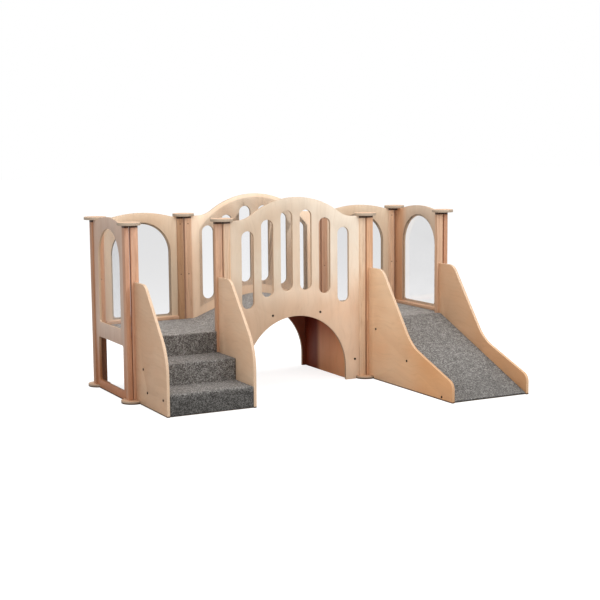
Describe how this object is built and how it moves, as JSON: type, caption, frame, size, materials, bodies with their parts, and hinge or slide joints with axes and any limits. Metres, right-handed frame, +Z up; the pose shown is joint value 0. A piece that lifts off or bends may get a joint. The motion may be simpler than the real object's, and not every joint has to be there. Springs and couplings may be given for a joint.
{
  "type": "indoor climbing bridge",
  "caption": "Toddler climbing bridge in clear plywood: carpeted stairs, platforms with arched windows, a humped bridge over a crawl tunnel, and a carpeted slide.",
  "frame": {"origin": "bottom centre of the overall bounding box, on the floor", "axes": "+X from the stair platform towards the slide platform, +Y from the front with stairs and slide towards the rear, +Z up"},
  "size_m": [2.435, 1.7122, 1.2379],
  "materials": {
    "birch_ply": "clear satin lacquer on birch plywood",
    "beech": "clear satin lacquer on steamed beech",
    "carpet": "speckled grey loop pile",
    "clear_acrylic": "clear polished sheet",
    "steel": "zinc plated"
  },
  "bodies": {
    "root": {"base_discs": "birch_ply", "bridge_cross_rails": "beech", "bridge_deck": "birch_ply", "bridge_side_front": "birch_ply", "bridge_side_rear": "birch_ply", "carpet_bridge": "carpet", "carpet_left_deck": "carpet", "carpet_right_deck": "carpet", "carpet_slide": "carpet", "carpet_stairs": "carpet", "deck_board_left": "birch_ply", "deck_board_right": "birch_ply", "deck_rails_left": "beech", "deck_rails_right": "beech", "panel_bolts": "steel", "slide_bed": "birch_ply", "slide_cross_rails": "beech", "slide_side_left": "birch_ply", "slide_side_right": "birch_ply", "slot_sheet_front": "clear_acrylic", "slot_sheet_rear": "clear_acrylic", "stair_cross_rails": "beech", "stair_riser_lower": "birch_ply", "stair_riser_middle": "birch_ply", "stair_riser_top": "birch_ply", "stair_side_left": "birch_ply", "stair_side_right": "birch_ply", "stair_tread_lower": "birch_ply", "stair_tread_upper": "birch_ply", "stile_bridge_front_left": "beech", "stile_bridge_front_right": "beech", "stile_bridge_rear_left": "beech", "stile_bridge_rear_right": "beech", "stile_left_side_front": "beech", "stile_left_side_rear": "beech", "stile_rear_left_inner": "beech", "stile_rear_left_outer": "beech", "stile_rear_right_inner": "beech", "stile_rear_right_outer": "beech", "stile_right_side_front": "beech", "stile_right_side_rear": "beech", "stile_screws": "steel", "stile_slide_left": "beech", "stile_slide_right": "beech", "stile_stair_left": "beech", "stile_stair_right": "beech", "toe_strips": "beech", "top_discs": "birch_ply", "tunnel_wall_left": "birch_ply", "tunnel_wall_right": "birch_ply", "window_pane_left": "clear_acrylic", "window_pane_rear_left": "clear_acrylic", "window_pane_rear_right": "clear_acrylic", "window_pane_right": "clear_acrylic", "window_panel_left": "birch_ply", "window_panel_rear_left": "birch_ply", "window_panel_rear_right": "birch_ply", "window_panel_right": "birch_ply"}
  },
  "joints": []
}
